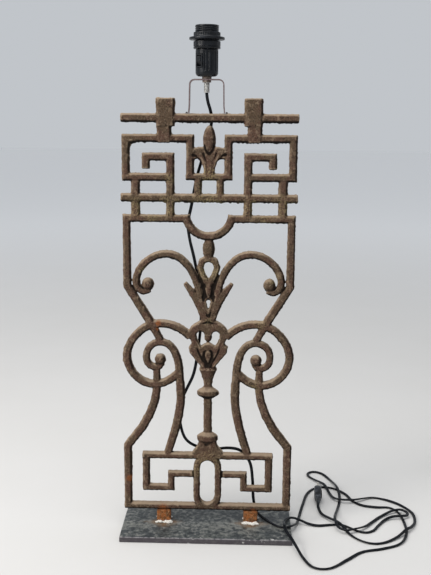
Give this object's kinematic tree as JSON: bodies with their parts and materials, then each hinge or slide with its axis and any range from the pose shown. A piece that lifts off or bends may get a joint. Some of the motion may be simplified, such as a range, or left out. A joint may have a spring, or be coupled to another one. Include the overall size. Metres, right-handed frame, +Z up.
{
  "type": "table lamp made from a cast iron railing panel",
  "caption": "Lamp made from an upright cast iron scrollwork railing panel on a flat steel plate, with a lampholder, shade ring and rocker switch on top and a long twin lead with a plug.",
  "frame": {"origin": "middle of the base plate's underside, on the floor", "axes": "+Z up the lamp, -Y out of its front face, +X to the right as seen from the front"},
  "size_m": [0.534, 0.4042, 0.8718],
  "materials": {
    "casting_iron": "brown-grey pitted cast iron with old paint and rust",
    "plate_steel": "dark blue-grey sheet steel, satin, scuffed at the edges",
    "lug_rust": "orange rust, rough",
    "crust": "white crusty deposit, matt",
    "bracket_steel": "bare steel strip, dull",
    "bracket_weld": "dark weld metal",
    "zinc": "zinc plated steel",
    "holder_black": "black moulded plastic, half gloss",
    "ring_black": "black moulded plastic, half gloss",
    "carrier_white": "white porcelain, satin",
    "nickel": "nickel plated brass",
    "brass": "brass",
    "switch_black": "black moulded plastic",
    "rocker_black": "black moulded plastic, a little glossier than the frame",
    "cord_black": "glossy black flexible lead",
    "plug_black": "black moulded plastic, satin"
  },
  "bodies": {
    "stand": {"grille_casting": "casting_iron", "base_plate": "plate_steel", "lug_left": "lug_rust", "lug_right": "lug_rust", "weld_front_left": "crust", "weld_front_right": "crust", "weld_back_left": "crust", "weld_back_right": "crust", "strip_bracket": "bracket_steel", "bracket_weld_left": "bracket_weld", "bracket_weld_right": "bracket_weld", "bracket_washer": "zinc", "locknut_lower": "zinc", "locknut_upper": "zinc", "nipple": "zinc", "holder_cap": "holder_black", "holder_shell": "holder_black", "contact_carrier": "carrier_white", "screw_shell_contact": "nickel", "terminal_screw_left": "brass", "terminal_screw_right": "brass", "switch_frame": "switch_black", "cord_on_casting": "cord_black", "cord_over_plate": "cord_black", "cord_on_floor": "cord_black", "plug_relief": "plug_black", "plug_body": "plug_black", "plug_pin_lower": "nickel", "plug_pin_upper": "nickel"},
    "shade_ring": {"shade_ring": "ring_black"},
    "rocker": {"switch_rocker": "rocker_black"},
    "centre_contact": {"centre_contact": "brass"}
  },
  "joints": [
    {"name": "rocker_tilt", "type": "hinge", "parent": "stand", "child": "rocker", "pos_m": [-0.01494, -0.01228, 0.815], "axis": [0.7771, -0.6293, 0], "range_deg": [-15, 0]},
    {"name": "ring_travel", "type": "slide", "parent": "stand", "child": "shade_ring", "axis": [0, 0, 1], "range_m": [-0.002, 0.011]},
    {"name": "contact_flex", "type": "hinge", "parent": "stand", "child": "centre_contact", "pos_m": [-0.005, -0.011, 0.839], "axis": [1, 0, 0], "range_deg": [-9, 0], "stiffness_Nm_per_rad": 0.4}
  ]
}
